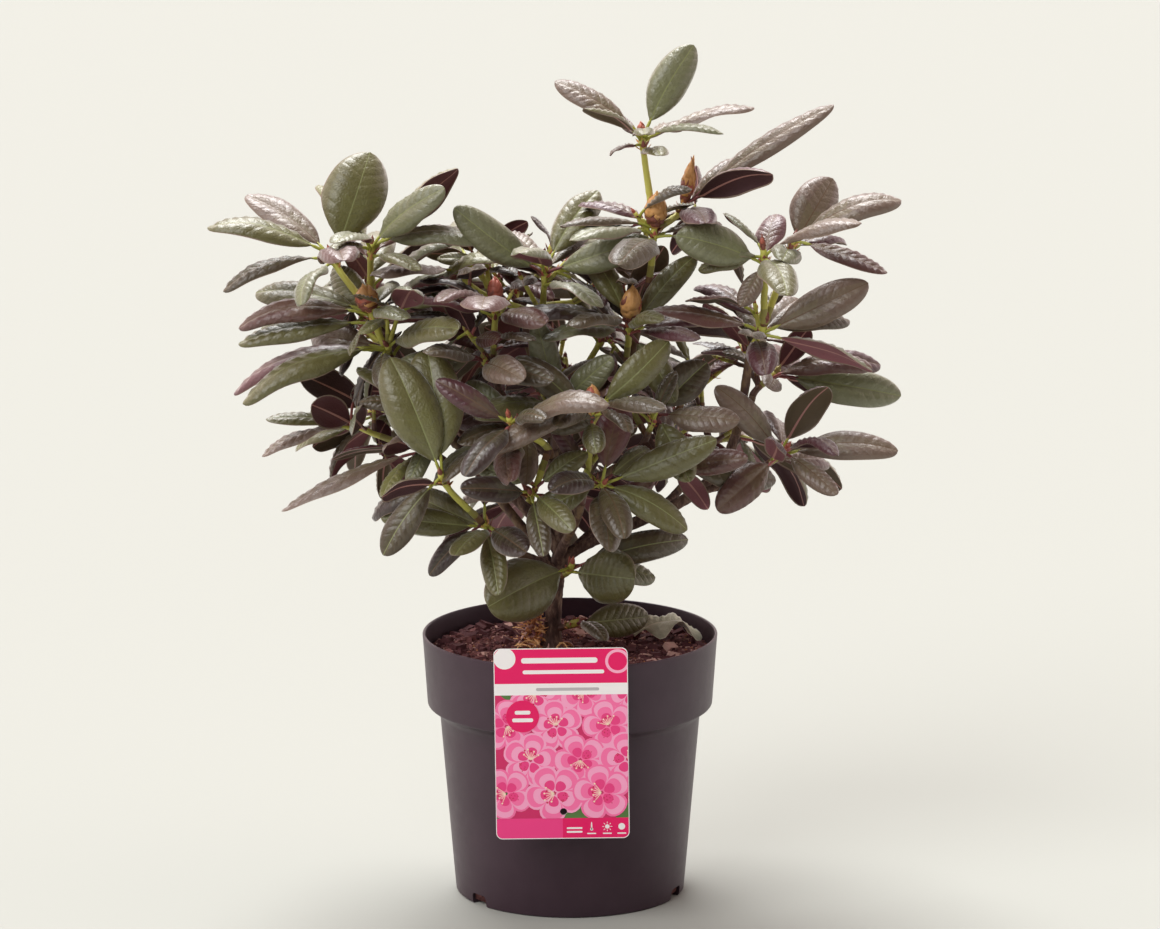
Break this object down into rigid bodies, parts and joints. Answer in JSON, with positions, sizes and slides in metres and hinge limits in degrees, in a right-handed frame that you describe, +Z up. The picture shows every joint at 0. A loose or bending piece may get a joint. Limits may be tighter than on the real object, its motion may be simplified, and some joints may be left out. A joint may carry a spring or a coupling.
{
  "type": "potted rhododendron",
  "caption": "Young rhododendron in a round nursery pot: short trunk, rising boughs, whorls of long leathery leaves, damp soil and a hang label over the rim.",
  "frame": {"origin": "centre of the pot's flat underside", "axes": "+Z up the plant, -Y towards the side that carries the label, +X to the right of someone who reads the label"},
  "size_m": [0.537, 0.3402, 0.667],
  "materials": {
    "bark": "matte",
    "foliage": "matte",
    "pot": "satin",
    "soil": "matte",
    "label": "gloss"
  },
  "bodies": {
    "root": {"trunk": "bark", "centre_bough": "bark", "left_bough": "bark", "right_low_bough": "bark", "middle_bough": "bark", "front_bough": "bark", "front_left_bough": "bark", "back_bough": "bark", "back_left_bough": "bark", "back_right_bough": "bark", "right_high_bough": "bark", "right_side_bough": "bark", "lower_right_bough": "bark", "right_back_bough": "bark", "top_bough": "bark", "inner_right_bough": "bark", "inner_left_bough": "bark", "centre_left_bough": "bark", "front_high_bough": "bark", "low_left_bough": "bark", "left_back_bough": "bark", "back_high_bough": "bark", "back_low_bough": "bark", "top_leaves": "foliage", "upper_left_leaves": "foliage", "centre_top_leaves": "foliage", "upper_right_leaves": "foliage", "right_leaves": "foliage", "lower_right_leaves": "foliage", "middle_leaves": "foliage", "inner_left_leaves": "foliage", "centre_left_leaves": "foliage", "front_leaves": "foliage", "front_high_leaves": "foliage", "front_left_leaves": "foliage", "low_left_leaves": "foliage", "inner_right_leaves": "foliage", "foot_leaves": "foliage", "soil_leaves": "foliage", "back_leaves": "foliage", "back_left_leaves": "foliage", "back_right_leaves": "foliage", "back_high_leaves": "foliage", "left_back_leaves": "foliage", "back_low_leaves": "foliage", "right_back_leaves": "foliage", "pot": "pot", "soil": "soil", "label": "label"}
  },
  "joints": []
}
